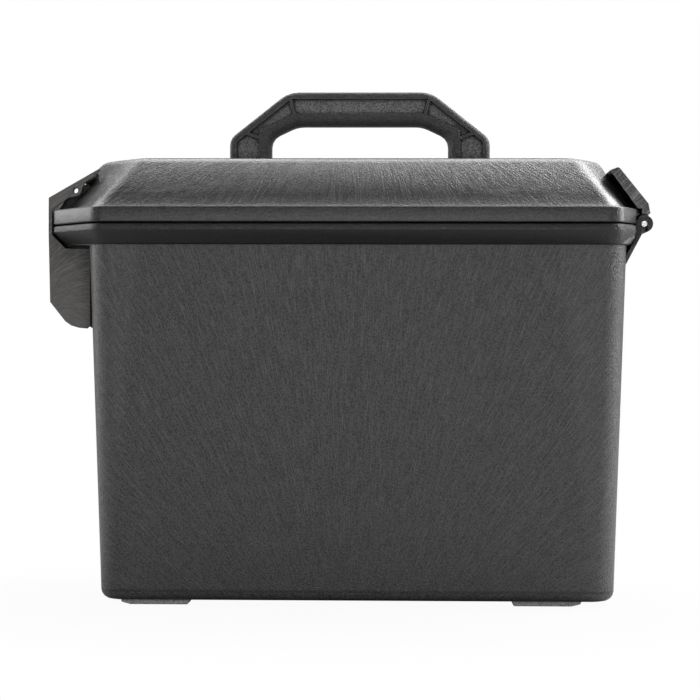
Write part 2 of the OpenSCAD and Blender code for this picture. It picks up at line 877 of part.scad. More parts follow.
module latch_lever() {
    bore_half = latch_half_w - pin_cover;
    color(moulded_dark) difference() {
        union() {
            side_prism(-latch_half_w, latch_half_w) lever_face();
            both_sides() side_prism(latch_half_w - cheek_t, latch_half_w) lever_cheek();
            both_sides() side_prism(latch_half_w - cheek_t, latch_half_w) lever_arm();
            both_sides() across(padlock_x, padlock_z, lobe_r, latch_half_w - cheek_t, latch_half_w);
            side_prism(-latch_half_w, latch_half_w) lever_bar();
            side_prism(-lip_half_w, lip_half_w) lever_lip();
        }
        // The pin's bores stop short of the outer faces
        across(pin_x, pin_z, latch_pin_d / 2 + running_gap, -bore_half, bore_half);
        across(padlock_x, padlock_z, padlock_d / 2, -half_w, half_w);
    }
}

module latch_pin() {
    pin_half = latch_half_w - pin_cover - slide_gap;
    color(steel) across(pin_x, pin_z, latch_pin_d / 2, -pin_half, pin_half);
}

// Handle: an arch with rounded inner edges, a half-round foot on each leg, and ribbed pockets in both faces
knee_share = 0.37;
inner_knee_share = 0.7;
inner_shoulder_l = shoulder_l * 0.44;
outer_knee = [-handle_half_l, z_top + handle_rise * knee_share];
outer_shoulder = [-(handle_half_l - shoulder_l), z_top + handle_rise];
inner_knee = [-(handle_half_l - leg_w), z_top + (handle_rise - grip_h) * inner_knee_share];
inner_shoulder = [-(handle_half_l - leg_w - inner_shoulder_l), z_top + handle_rise - grip_h];
function flipped(p) = [-p.x, p.y];
arch_radii = [1, 1, 10, 22, 22, 10, 1, 1, 10, 22, 22, 10];

// The arch at a distance y from its middle plane, drawn counter-clockwise in X and Z
outer_round = 3;
inner_round = 7;
function round_over(y, r) =
    let (past = max(0, abs(y) - (handle_t / 2 - r)))
    r - sqrt(max(0, r * r - past * past));
arch_steps = 3;
function arch_corners(foot) = [
    [outer_knee.x, foot], [inner_knee.x, foot], inner_knee, inner_shoulder,
    flipped(inner_shoulder), flipped(inner_knee), [-inner_knee.x, foot], [-outer_knee.x, foot],
    flipped(outer_knee), flipped(outer_shoulder), outer_shoulder, outer_knee,
];
// Insets of the arch's edges in the same order: the two feet, the inner edges and the outer edges
function arch_insets(at_foot, in, out) = [at_foot, in, in, in, in, in, at_foot, out, out, out, out, out];
function arch(y) =
    let (foot = handle_z - sqrt(max(0, pow(handle_t / 2, 2) - y * y)))
    rounded(
        inset(arch_corners(foot), arch_insets(0, round_over(y, inner_round), round_over(y, outer_round))),
        arch_radii, arch_steps
    );

module arch_solid() {
    steps = 6;
    ys = [for (k = [-steps:steps]) handle_t / 2 * sin(90 * k / steps)];
    rotate([90, 0, 0]) loft([for (y = ys) [y, arch(y)]], arch_steps + 1);
}

// Pockets between the ribs, one outline for each
pocket_margin_out = 5.2;
pocket_margin_in = 8.8;
rib = 2.2;
rib_share = 0.17; // where the lower rib meets the sloping outer edge
rib_dip = 3.5;
module pockets() {
    frame = inset(
        arch_corners(handle_z + handle_t / 2),
        arch_insets(pocket_margin_out, pocket_margin_in, pocket_margin_out)
    );
    difference() {
        polygon(frame);
        for (side = [0, 1]) mirror([side, 0]) {
            rib_between(outer_knee * (1 - rib_share) + outer_shoulder * rib_share, inner_knee - [0, rib_dip]);
            rib_between(outer_shoulder, inner_shoulder);
        }
    }
}

module rib_between(a, b) {
    along = (b - a) / norm(b - a);
    across_rib = [-along.y, along.x] * rib / 2;
    polygon([a + across_rib, b + across_rib, b - across_rib, a - across_rib]);
}

module handle() {
    color(moulded) difference() {
        arch_solid();
        both_sides() side_prism(handle_t / 2 - pocket_d, handle_t / 2 + over) pockets();
        rotate([0, 90, 0])
            translate([-handle_z, 0, -handle_half_l - over])
                cylinder(r = handle_pin_d / 2 + running_gap, h = handle_l + 2 * over, $fn = 48);
    }
}

module handle_pin() {
    in = lug_x - lug_t + 0.5;
    color(steel)
        translate([in, 0, handle_z])
            rotate([0, 90, 0]) cylinder(r = handle_pin_d / 2, h = pin_out - 0.5 - in, $fn = 48);
}

// Feet: pads under the corners, ramped at their outer ends and sloped back above their long edges
foot_offset = -4.2;
foot_ramp = 7;
foot_slope = 1;
foot_x = half_l - wall_h * tan(draft) - foot_set_in - foot_l / 2;
foot_y = half_w - wall_h * tan(draft) - bottom_r - foot_w / 2;

module foot_section() {
    right_edge = [
        [foot_w / 2 - foot_slope / 2, 0],
        [foot_w / 2, foot_slope / 2],
        [foot_w / 2, foot_h / 2],
        [foot_w / 2 - foot_slope, foot_h],
    ];
    left_edge = [for (i = [3:-1:0]) [-right_edge[i].x, right_edge[i].y]];
    polygon(concat(right_edge, left_edge));
}

module foot_profile() {
    polygon([
        [-foot_l / 2, foot_h],
        [-foot_l / 2, foot_slope],
        [-foot_l / 2 + foot_slope, 0],
        [foot_l / 2 - foot_ramp, 0],
        [foot_l / 2 - foot_slope, foot_h * 0.45],
        [foot_l / 2, foot_h * 0.7],
        [foot_l / 2, foot_h],
    ]);
}

module foot(end, side) {
    color(rubber)
        translate([foot_offset, side * foot_y, 0])
            mirror([end < 0 ? 1 : 0, 0, 0])
                translate([foot_x, 0, 0])
                    intersection() {
                        side_prism(-foot_w, foot_w) foot_profile();
                        rotate([90, 0, 90])
                            translate([0, 0, -foot_l])
                                linear_extrude(2 * foot_l) foot_section();
                    }
}

placed() tub();
placed() lid();
placed() lid_gasket();
placed() hinge_leaf();
placed() hinge_leaf_screws();
placed() hinge_pin();
placed() latch_lever();
placed() latch_pin();
placed() handle();
placed() mirror([1, 0, 0]) handle_pin();  // handle_pin_left
placed() handle_pin();  // handle_pin_right
placed() foot(-1, -1);  // foot_front_left
placed() foot(1, -1);  // foot_front_right
placed() foot(-1, 1);  // foot_rear_left
placed() foot(1, 1);  // foot_rear_right
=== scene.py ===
# %% [markdown]
# # A hard carry case, dressed for its portrait
#
# The real object is a tall case moulded from black plastic, with a hinged lid, an end
# latch and a fold-down handle. Its solids come from the CAD model, in metres, and stay
# where they are. This lesson sets up a small white studio, mixes a finish for every
# piece and rounds the moulded edges.

# %% Load the solids
import math

import bpy
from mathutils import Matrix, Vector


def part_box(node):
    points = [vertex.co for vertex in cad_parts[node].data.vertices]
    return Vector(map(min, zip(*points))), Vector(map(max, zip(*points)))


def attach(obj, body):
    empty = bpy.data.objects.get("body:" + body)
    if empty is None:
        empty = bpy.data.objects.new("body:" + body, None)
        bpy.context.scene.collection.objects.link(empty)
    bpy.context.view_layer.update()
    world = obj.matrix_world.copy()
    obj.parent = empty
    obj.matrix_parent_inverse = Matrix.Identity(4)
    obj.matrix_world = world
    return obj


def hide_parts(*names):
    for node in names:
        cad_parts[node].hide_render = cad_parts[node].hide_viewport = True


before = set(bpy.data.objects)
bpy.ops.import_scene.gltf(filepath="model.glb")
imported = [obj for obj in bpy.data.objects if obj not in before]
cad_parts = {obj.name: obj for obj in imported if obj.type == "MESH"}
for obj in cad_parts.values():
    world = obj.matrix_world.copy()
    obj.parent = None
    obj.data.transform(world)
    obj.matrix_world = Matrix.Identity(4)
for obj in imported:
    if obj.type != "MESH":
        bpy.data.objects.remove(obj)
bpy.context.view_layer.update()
bpy.ops.object.select_all(action="DESELECT")


print("solids:", sorted(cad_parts))

# %% [markdown]
# ## Camera
#
# The portrait is taken from the front with a long lens, at about half the height of the
# case. A long lens keeps the upright corners nearly parallel, so almost only the front
# shows, with the latch in profile on the left and the hinge in profile on the right.

# %% Camera
camera_data = bpy.data.cameras.new("case_camera")
camera_data.lens = 106.5
camera_data.sensor_width = 36
camera = bpy.data.objects.new("case_camera", camera_data)
bpy.context.collection.objects.link(camera)
camera.location = (0.04115, -1.558, 0.1820)
camera.rotation_euler = [math.radians(turn) for turn in (90, -0.14, 1.518)]
bpy.context.scene.camera = camera
print("camera is", round(-1000 * camera.location.y), "mm in front of the middle")

# %% [markdown]
# ## Helpers for shader trees
#
# A shader tree is a list of nodes and the wires between them. A few small helpers keep
# the cells below short. One adds a node and sets its values, two work out sums and
# products, one adds up masks by their shares, one makes a soft step from 0 to 1, and
# one starts a material.

# %% Helpers for nodes and sums
def add_node(tree, kind, settings=None, values=None):
    node = tree.nodes.new(kind)
    for name, value in (settings or {}).items():
        setattr(node, name, value)
    for name, value in (values or {}).items():
        if hasattr(value, "is_output"):
            tree.links.new(value, node.inputs[name])
        else:
            node.inputs[name].default_value = value
    return node


def maths(tree, operation, first, second=0.0, third=0.0):
    node = add_node(tree, "ShaderNodeMath", {"operation": operation},
                    {0: first, 1: second, 2: third})
    return node.outputs[0]


def times(tree, first, second):
    return maths(tree, "MULTIPLY", first, second)


def weigh(tree, start, *shares):
    total = start
    for mask, share in shares:
        total = maths(tree, "MULTIPLY_ADD", mask, share, total)
    return total


print("sums ready")

# %% Helpers for steps and materials
def soft_step(tree, value, low, high):
    node = add_node(tree, "ShaderNodeMapRange", {"interpolation_type": "SMOOTHSTEP"},
                    {"Value": value, "From Min": low, "From Max": high})
    return node.outputs["Result"]


def new_material(name):
    paint = bpy.data.materials.new(name)
    paint.use_nodes = True
    return paint, paint.node_tree, paint.node_tree.nodes["Principled BSDF"]


print("steps and materials ready")

# %% [markdown]
# ## Studio
#
# The photograph has a white background and almost no shadow. The world is white to the
# camera, but dimmer as a lamp and in reflections from the front, so that it doesn't wash
# the black plastic out. The floor shows the camera nearly white and keeps a faint shadow;
# to everything else it is grey, because a white floor would throw light up the walls.

# %% White world
front_mirrored, back_mirrored = 0.2, 0.7
world_as_lamp = 0.5
scene = bpy.context.scene
scene.view_settings.view_transform = "Standard"
world = bpy.data.worlds.new("studio_world")
world.use_nodes = True
scene.world = world
sky = world.node_tree
rays = add_node(sky, "ShaderNodeLightPath").outputs
way = add_node(sky, "ShaderNodeTexCoord").outputs["Generated"]
way = add_node(sky, "ShaderNodeSeparateXYZ", values={0: way}).outputs
behind = soft_step(sky, way["Y"], -0.5, 0.5)
room = weigh(sky, front_mirrored, (behind, back_mirrored - front_mirrored))
seen = maths(sky, "MAXIMUM", rays["Is Camera Ray"], rays["Is Transmission Ray"])
seen = maths(sky, "MAXIMUM", seen, times(sky, rays["Is Glossy Ray"], room))
lit = times(sky, rays["Is Diffuse Ray"], world_as_lamp)
strength = maths(sky, "MAXIMUM", seen, lit)
background = sky.nodes["Background"]
background.inputs["Color"].default_value = (1.0, 1.0, 1.0, 1.0)
sky.links.new(strength, background.inputs["Strength"])
print("world is white to the camera and", world_as_lamp, "as a lamp")

# %% Floor
floor_grey = (0.4, 0.4, 0.4, 1)
white_by_case, white_far = 0.95, 1.0
shadow_starts, shadow_ends = 0.22, 0.45
bpy.ops.mesh.primitive_plane_add(size=14, location=(0, 3, 0))
floor = bpy.context.active_object
floor.name = "studio_floor"
bpy.ops.object.transform_apply(location=True, rotation=True, scale=True)
floor_paint, tree, matt = new_material("pale_floor")
matt.inputs["Base Color"].default_value = floor_grey
matt.inputs["Roughness"].default_value = 0.9
matt.inputs["Specular IOR Level"].default_value = 0.1
glow = add_node(tree, "ShaderNodeEmission", values={
    "Color": (1, 1, 1, 1), "Strength": 1.0})
rays = add_node(tree, "ShaderNodeLightPath").outputs
spot = add_node(tree, "ShaderNodeTexCoord").outputs["Object"]
out = add_node(tree, "ShaderNodeVectorMath", {"operation": "LENGTH"}, {0: spot})
away = soft_step(tree, out.outputs["Value"], shadow_starts, shadow_ends)
white = weigh(tree, white_by_case, (away, white_far - white_by_case))
share = times(tree, rays["Is Camera Ray"], white)
mix = add_node(tree, "ShaderNodeMixShader", values={
    0: share, 1: matt.outputs["BSDF"], 2: glow.outputs["Emission"]})
tree.links.new(mix.outputs["Shader"], tree.nodes["Material Output"].inputs["Surface"])
floor.data.materials.append(floor_paint)
print("floor laid at z = 0")

# %% [markdown]
# ## Lamps
#
# Black plastic is drawn by what it mirrors. A wide softbox overhead and a strip above the
# back of the lid light its slopes. A broad one on the left and a narrow one on the right
# draw the upright corners, one high on the right catches the lid's hip, and a low one in
# front keeps the wall and the feet readable.

# %% Softboxes
def softbox(name, place, aim, width, height, watts):
    data = bpy.data.lights.new(name, "AREA")
    data.shape = "RECTANGLE"
    data.size, data.size_y = width, height
    data.energy = watts
    lamp = bpy.data.objects.new(name, data)
    bpy.context.collection.objects.link(lamp)
    lamp.location = place
    lamp.visible_camera = False
    way = Vector(aim) - Vector(place)
    lamp.rotation_euler = way.to_track_quat("-Z", "Y").to_euler()
    print(name, "radiance about", round(watts / (math.pi * width * height), 2))


# name, place, aim, width, height, watts
softbox("overhead_softbox", (0.35, 0.45, 1.5), (0.1, 0.2, 0.3), 1.7, 1.0, 2.5)
softbox("lid_strip", (0.06, 0.48, 1.10), (0.06, -0.02, 0.3), 1.5, 0.6, 15.0)
softbox("left_softbox", (-1.3, 0.22, 0.55), (-0.15, 0.0, 0.25), 0.8, 0.7, 9.5)
softbox("right_softbox", (1.3, 0.05, 0.45), (0.2, 0.0, 0.25), 0.25, 0.8, 15.0)
softbox("upper_right_softbox", (0.93, 0.40, 1.38), (0.19, -0.08, 0.3), 0.9, 0.7, 21.0)
softbox("low_front_softbox", (0.0, -1.7, 0.12), (0.0, 0.0, 0.05), 1.4, 0.3, 8.0)

# %% [markdown]
# ## Pebble grain
#
# The mould's walls are etched, so the plastic comes out with a fine pebbled skin. Noise
# at about the size of the pebbles, with a finer noise on top, gives a height for the
# bump and a speckle for the colour. It is a group, because nearly every piece has it,
# and it is turned askew, so that the noise never lines up with a flat wall.

# %% Start a group
def new_group(name, inputs, outputs):
    group = bpy.data.node_groups.new(name, "ShaderNodeTree")
    face = group.interface
    for socket, kind in inputs.items():
        face.new_socket(socket, in_out="INPUT", socket_type="NodeSocket" + kind)
    for socket in outputs:
        face.new_socket(socket, in_out="OUTPUT", socket_type="NodeSocketFloat")
    entry = add_node(group, "NodeGroupInput").outputs
    leave = add_node(group, "NodeGroupOutput").inputs
    print("group:", name, "gives", ", ".join(outputs))
    return group, entry, leave


# %% Pebble grain
grain_group, entry, leave = new_group(
    "pebble_grain", {"Place": "Vector", "Pebbles per Metre": "Float"},
    ["Height", "Speckle"])
askew = add_node(grain_group, "ShaderNodeMapping", values={
    "Vector": entry["Place"], "Rotation": (0.5, 0.8, 1.1)}).outputs["Vector"]
pebble_count = entry["Pebbles per Metre"]
coarse = add_node(grain_group, "ShaderNodeTexNoise", values={
    "Vector": askew, "Scale": pebble_count, "Detail": 2.0, "Roughness": 0.55})
finer = times(grain_group, pebble_count, 2.3)
fine = add_node(grain_group, "ShaderNodeTexNoise", values={
    "Vector": askew, "Scale": finer, "Detail": 1.0})
pebbles = soft_step(grain_group, coarse.outputs[0], 0.40, 0.60)
dots = soft_step(grain_group, fine.outputs[0], 0.38, 0.66)
height = weigh(grain_group, pebbles, (dots, 0.35))
speckle = times(grain_group, maths(grain_group, "ADD", pebbles, dots), 0.5)
grain_group.links.new(height, leave["Height"])
grain_group.links.new(speckle, leave["Speckle"])

# %% [markdown]
# ## Flow streaks
#
# Fibres in the melt line up as it runs through the mould, and leave hair-fine paler
# streaks that fan out from where it came in. Noise that is very fine across the flow
# and long along it gives them. The material says what is across and what is along.

# %% Flow streaks
streak_group, entry, leave = new_group(
    "flow_streaks", {"Across": "Float", "Along": "Float", "Side": "Float"}, ["Streaks"])
lines = add_node(streak_group, "ShaderNodeCombineXYZ", values={
    "X": entry["Across"], "Y": entry["Along"], "Z": entry["Side"]})
hairs = add_node(streak_group, "ShaderNodeTexNoise", values={
    "Vector": lines.outputs["Vector"], "Scale": 1.0, "Detail": 3.0, "Roughness": 0.65,
    "Distortion": 0.4})
streaks = soft_step(streak_group, hairs.outputs[0], 0.44, 0.70)
streak_group.links.new(streaks, leave["Streaks"])

# %% [markdown]
# ## Painted edge highlights
#
# Rounded edges of black plastic catch thin lines of light, and here that highlight is
# painted into the colour. The Bevel node says how far the surface turns within a short
# distance, so the mask is strong just along the edges.

# %% Painted edge highlights
highlight_group, entry, leave = new_group("painted_edge_highlight", {"Reach": "Float"}, ["Edge"])
turned = add_node(highlight_group, "ShaderNodeBevel", {"samples": 4}, {
    "Radius": entry["Reach"]})
flat = add_node(highlight_group, "ShaderNodeNewGeometry")
same = add_node(highlight_group, "ShaderNodeVectorMath", {"operation": "DOT_PRODUCT"}, {
    0: turned.outputs["Normal"], 1: flat.outputs["Normal"]})
away = maths(highlight_group, "SUBTRACT", 1.0, same.outputs["Value"])
highlight_group.links.new(soft_step(highlight_group, away, 0.01, 0.16), leave["Edge"])

# %% [markdown]
# ## Painted shade in creases
#
# Inside corners of black plastic look almost black, because little light gets in. That
# shade is painted into the colour: the Ambient Occlusion node measures how closed in a
# point is within a few millimetres, and that becomes a mask which darkens it.

# %% Painted shade in creases
shade_group, entry, leave = new_group("painted_crease_shade", {"Reach": "Float"}, ["Crease"])
closed = add_node(shade_group, "ShaderNodeAmbientOcclusion", {"samples": 6}, {
    "Distance": entry["Reach"]})
shut = maths(shade_group, "SUBTRACT", 1.0, closed.outputs["AO"])
shade_group.links.new(soft_step(shade_group, shut, 0.08, 0.5), leave["Crease"])

# %% [markdown]
# ## Mixing a plastic
#
# Every black piece is the same kind of plastic with its own grain, streaks and tone, so
# the steps are the same each time: blend a dark and a pale grey by a mask, paint
# highlights along the edges, paint shade into the creases, and wire colour, roughness
# and bump to the shader.

# %% Helpers for colour
# Painted shade in the creases is mixed towards this near-black.
shade_black = 0.002


def place_group(tree, group, values):
    return add_node(tree, "ShaderNodeGroup", {"node_tree": group}, values).outputs


def grey(level, warmth=0.0):
    return (level * (1 + warmth), level, level * (1 - warmth), 1.0)


def blend_colour(tree, factor, first, second):
    node = add_node(tree, "ShaderNodeMix", {"data_type": "RGBA"},
                    {0: factor, 6: first, 7: second})
    return node.outputs[2]


# Paints a highlight along the edges: the colour turns paler there.
def paint_edge_highlight(tree, colour, reach, share, level):
    edge = place_group(tree, highlight_group, {"Reach": reach})["Edge"]
    return blend_colour(tree, times(tree, edge, share), colour, grey(level))


# Paints shade into the creases: the colour turns near-black where the mask is closed.
def paint_shade(tree, colour, mask, share):
    return blend_colour(tree, times(tree, mask, share), colour, grey(shade_black))


print("colour helpers ready")

# %% Helpers for grain, streaks and the shader
def pebbled(tree, place, pebbles):
    grain = place_group(tree, grain_group, {"Place": place, "Pebbles per Metre": pebbles})
    return grain["Height"], grain["Speckle"]


def streaked(tree, across, along, side, fineness, pace):
    return place_group(tree, streak_group, {
        "Across": times(tree, across, fineness), "Along": times(tree, along, pace),
        "Side": side})["Streaks"]


def wire_finish(tree, shader, colour, rough, height, strength, depth):
    bump = add_node(tree, "ShaderNodeBump", values={
        "Strength": strength, "Distance": depth, "Height": height})
    tree.links.new(colour, shader.inputs["Base Color"])
    tree.links.new(rough, shader.inputs["Roughness"])
    tree.links.new(bump.outputs["Normal"], shader.inputs["Normal"])


print("finish helpers ready")

# %% [markdown]
# ## Which way the plastic flowed
#
# On the tall walls the streaks fan up from below the middle of each wall; on the lid
# they fan out from the middle of its top. The angle round that point is "across" and
# the distance from it is "along". A place on the piece and the way it faces say which
# wall a point is on.

# %% Flow directions
square_on = 0.7


def fan(tree, across, along):
    angle = maths(tree, "ARCTAN2", across, along)
    square = weigh(tree, times(tree, along, along), (across, across))
    return angle, maths(tree, "SQRT", square)


def place_of(tree):
    where = add_node(tree, "ShaderNodeTexCoord").outputs
    split = add_node(tree, "ShaderNodeSeparateXYZ", values={0: where["Object"]})
    facing = add_node(tree, "ShaderNodeSeparateXYZ", values={0: where["Normal"]})
    return where["Object"], split.outputs, facing.outputs


def unsigned(tree, value):
    return maths(tree, "ABSOLUTE", value)


def choose(tree, factor, first, second):
    node = add_node(tree, "ShaderNodeMix", values={0: factor, 2: first, 3: second})
    return node.outputs[0]


print("flow helpers ready")

# %% [markdown]
# ## Wall plastic
#
# The tub is charcoal black with a fine grain. Streaks fan up its walls, and towards the
# upright corners the plastic cooled later, which leaves a slightly paler zone with a
# soft border. The rim comes from a polished part of the mould, so it is plainer and
# darker up to a speckled edge. A dark line near the foot is painted shade, where the
# bottom edge starts to round. Masks by height and by distance from the middle mark out
# these zones.

# %% Wall flow and grain
case_grain = 850.0
side_drift = 8.0
middle_x = sum(corner[0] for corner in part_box("tub")) / 2
front_gate, end_gate = 0.09, 0.18
wall_plastic, tree, plastic = new_material("wall_plastic")
place, xyz, facing = place_of(tree)
x_off = maths(tree, "SUBTRACT", xyz["X"], middle_x)
front_angle, front_reach = fan(tree, x_off, maths(tree, "ADD", xyz["Z"], front_gate))
end_angle, end_reach = fan(tree, xyz["Y"], maths(tree, "ADD", xyz["Z"], end_gate))
on_end = maths(tree, "GREATER_THAN", unsigned(tree, facing["X"]), square_on)
angle = choose(tree, on_end, front_angle, end_angle)
reach = choose(tree, on_end, front_reach, end_reach)
side = times(tree, xyz["Y"], side_drift)
streaks = streaked(tree, angle, reach, side, fineness=420.0, pace=70.0)
height, speckle = pebbled(tree, place, case_grain)
print("walls flow from", 1000 * front_gate, "and", 1000 * end_gate, "mm below the floor")

# %% Wall zones
def around(tree, value, middle, full, none):
    off = unsigned(tree, maths(tree, "SUBTRACT", value, middle))
    return maths(tree, "SUBTRACT", 1.0, soft_step(tree, off, full, none))


late_at_foot, late_lean, late_blur = 0.1727, -0.092, 0.004
rim_start, rim_blur = 0.2565, 0.0006
rim_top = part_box("tub")[1][2]
bottom_shade_height = 0.0105
border = weigh(tree, late_at_foot, (xyz["Z"], late_lean))
past_border = maths(tree, "SUBTRACT", unsigned(tree, x_off), border)
late = soft_step(tree, past_border, -late_blur, late_blur)
smooth_rim = soft_step(tree, xyz["Z"], rim_start - rim_blur, rim_start + rim_blur)
grained_edge = soft_step(tree, xyz["Z"], rim_top - 0.0024, rim_top - 0.0012)
smooth_rim = times(tree, smooth_rim, weigh(tree, 1.0, (grained_edge, -0.6)))

# Painted shade: a dark line near the foot, where the bottom edge starts to round.
bottom_edge_shade = around(tree, xyz["Z"], bottom_shade_height, 0.0004, 0.0014)
print("smooth rim from", 1000 * rim_start, "mm, seam at", 1000 * bottom_shade_height, "mm")

# %% Wall colour and skin
edge_reach, crease_shade_reach = 0.0012, 0.006
highlight_share, highlight_level, crease_shade_share = 0.3, 0.075, 0.9
pit_black = grey(0.002, 0.01)
tone = weigh(tree, times(tree, streaks, 0.45), (speckle, 0.65), (late, 0.14))
tone = times(tree, tone, weigh(tree, 1.0, (smooth_rim, -0.95)))
# The painted shade line near the foot darkens the tone there.
tone = times(tree, tone, weigh(tree, 1.0, (bottom_edge_shade, -0.6)))
colour = blend_colour(tree, tone, pit_black, grey(0.09, 0.02))
# Painted highlight: the edges turn paler, a little less on the rim.
wall_highlight_share = weigh(tree, highlight_share, (smooth_rim, -0.25))
colour = paint_edge_highlight(tree, colour, edge_reach, wall_highlight_share, highlight_level)
# Painted shade: the colour turns near-black in the creases.
crease_shade = place_group(tree, shade_group, {"Reach": crease_shade_reach})["Crease"]
colour = paint_shade(tree, colour, crease_shade, crease_shade_share)
rough = weigh(tree, 0.39, (speckle, -0.1))
wire_finish(tree, plastic, colour, rough, height, strength=0.7, depth=0.0002)
print("material:", wall_plastic.name)

# %% [markdown]
# ## Lid plastic
#
# The same plastic as the tub. The melt came in under the handle, so the streaks fan out
# from the middle of the top and run down the slopes. Near the lower corners of the long
# slopes the flow folded, which left a few pale, curved lines. The skin is smoother
# towards the foot of the slopes, which makes them darker there.

# %% Lid flow and folds
band_top, band_blur = 0.284, 0.001
fold_x, fold_z = 0.135, 0.2955
lid_plastic, tree, plastic = new_material("lid_plastic")
place, xyz = place_of(tree)[:2]
x_off = maths(tree, "SUBTRACT", xyz["X"], middle_x)
side = times(tree, xyz["Y"], side_drift)
angle, reach = fan(tree, x_off, unsigned(tree, xyz["Y"]))
height, speckle = pebbled(tree, place, case_grain)
above_band = soft_step(tree, xyz["Z"], band_top - band_blur, band_top + band_blur)
streaks = streaked(tree, angle, reach, side, fineness=150.0, pace=95.0)
hairs = times(tree, streaks, above_band)
bow = weigh(tree, xyz["Z"], (unsigned(tree, x_off), 0.06))
folds = streaked(tree, bow, xyz["X"], side, fineness=480.0, pace=40.0)
corner = times(tree, around(tree, unsigned(tree, x_off), fold_x, 0.015, 0.05),
               around(tree, xyz["Z"], fold_z, 0.003, 0.009))
folded = times(tree, folds, corner)
print("folds at", 1000 * fold_x, "mm from the middle,", 1000 * fold_z, "mm up")

# %% Lid colour and skin
slope_grained = 0.310
upper = soft_step(tree, xyz["Z"], band_top, slope_grained)
speckled = weigh(tree, 0.8, (above_band, -0.4))
tone = weigh(tree, times(tree, hairs, 1.1), (speckle, speckled), (folded, 1.1))
colour = blend_colour(tree, tone, pit_black, grey(0.06, 0.02))
# Painted highlight along the edges.
colour = paint_edge_highlight(tree, colour, edge_reach, highlight_share, highlight_level)
# Painted shade in the creases.
crease_shade = place_group(tree, shade_group, {"Reach": crease_shade_reach})["Crease"]
colour = paint_shade(tree, colour, crease_shade, crease_shade_share)
rough = weigh(tree, 0.34, (above_band, -0.05), (upper, 0.04), (hairs, -0.14))
raised = weigh(tree, 1.0, (above_band, -0.5), (upper, 0.6))
height = times(tree, weigh(tree, height, (hairs, 1.0)), raised)
wire_finish(tree, plastic, colour, rough, height, strength=0.42, depth=0.00018)
print("material:", lid_plastic.name)

# %% [markdown]
# ## Handle plastic
#
# The handle is the same plastic again, but short and thick, so it shows the pebbled
# grain and no streaks. The rims round its pockets get a painted highlight, and painted
# shade darkens the corners inside the pockets.

# %% Handle plastic
pocket_floor = 0.0078
handle_plastic, tree, plastic = new_material("handle_plastic")
place, xyz, facing = place_of(tree)
height, speckle = pebbled(tree, place, case_grain)
sunk = maths(tree, "LESS_THAN", unsigned(tree, xyz["Y"]), pocket_floor)
faces_out = maths(tree, "GREATER_THAN", unsigned(tree, facing["Y"]), 0.8)
in_pocket = times(tree, sunk, faces_out)
tone = times(tree, speckle, weigh(tree, 0.3, (in_pocket, 1.2)))
colour = blend_colour(tree, tone, grey(0.016, 0.01), grey(0.23, 0.01))
# Painted highlight on the edges and the pocket rims.
colour = paint_edge_highlight(tree, colour, reach=0.0007, share=0.8, level=0.3)
# Painted shade in the corners inside the pockets.
crease_shade = place_group(tree, shade_group, {"Reach": 0.0035})["Crease"]
colour = paint_shade(tree, colour, soft_step(tree, crease_shade, 0.05, 0.4), share=0.97)
rough = weigh(tree, 0.52, (speckle, -0.1))
wire_finish(tree, plastic, colour, rough, height, strength=0.7, depth=0.0003)
print("material:", handle_plastic.name)

# %% [markdown]
# ## Fitting plastic
#
# The latch and the hinge leaf are moulded from a harder plastic with more fibre, so
# their faces show swirls. On the latch's cheeks the swirl spreads from the lower outer
# corner, and the top of the latch is painted paler as painted light; on the leaf it lies
# in ripples that run along the hinge, and its end faces are painted paler as painted
# light.

# %% Latch plastic
fitting_grain, fitting_edge = 700.0, 0.001
latch_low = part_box("latch_lever")[0]
swirl_x, swirl_z = latch_low[0] - 0.004, latch_low[2] + 0.012
latch_plastic, tree, plastic = new_material("latch_plastic")
place, xyz, facing = place_of(tree)
x_off = maths(tree, "SUBTRACT", xyz["X"], swirl_x)
z_off = maths(tree, "SUBTRACT", xyz["Z"], swirl_z)
cheek_angle, cheek_reach = fan(tree, z_off, x_off)
face_angle, face_reach = fan(tree, xyz["Y"], maths(tree, "ADD", z_off, 0.12))
on_face = maths(tree, "LESS_THAN", unsigned(tree, facing["Y"]), square_on)
angle = choose(tree, on_face, cheek_angle, face_angle)
reach = choose(tree, on_face, cheek_reach, face_reach)
swirl = weigh(tree, angle, (reach, 14.0))
side = times(tree, xyz["Y"], 6.0)
streaks = streaked(tree, swirl, reach, side, fineness=60.0, pace=110.0)
print("latch swirls from", round(1000 * swirl_x), "and", round(1000 * swirl_z), "mm")

# %% Latch colour and skin
lit_arm_start, lit_arm_end = 0.27, 0.29
speckle = pebbled(tree, place, fitting_grain)[1]
near = maths(tree, "SUBTRACT", 1.0, soft_step(tree, reach, 0.0, 0.09))
# Painted light: the top of the latch, which faces the light, is painted paler.
lit_arm = soft_step(tree, xyz["Z"], lit_arm_start, lit_arm_end)
paler = maths(tree, "MAXIMUM", near, lit_arm)
tone = weigh(tree, times(tree, speckle, 0.25), (streaks, 0.6), (paler, 0.4))
colour = blend_colour(tree, tone, grey(0.01, 0.02), grey(0.14, 0.05))
# Painted highlight along the edges.
colour = paint_edge_highlight(tree, colour, fitting_edge, share=0.3, level=0.07)
rough = weigh(tree, 0.5, (streaks, -0.12))
wire_finish(tree, plastic, colour, rough, streaks, strength=0.35, depth=0.0002)
print("material:", latch_plastic.name)

# %% Hinge plastic
hinge_plastic, tree, plastic = new_material("hinge_plastic")
place, xyz, facing = place_of(tree)
wobble = add_node(tree, "ShaderNodeTexNoise", values={
    "Vector": place, "Scale": 45.0, "Detail": 2.0}).outputs[0]
down_leaf = maths(tree, "SUBTRACT", xyz["Z"], xyz["X"])
ripple = weigh(tree, down_leaf, (wobble, 0.008))
streaks = streaked(tree, ripple, xyz["Y"], 2.0, fineness=420.0, pace=60.0)
speckle = pebbled(tree, place, fitting_grain)[1]
tone = weigh(tree, times(tree, speckle, 0.3), (streaks, 0.6))
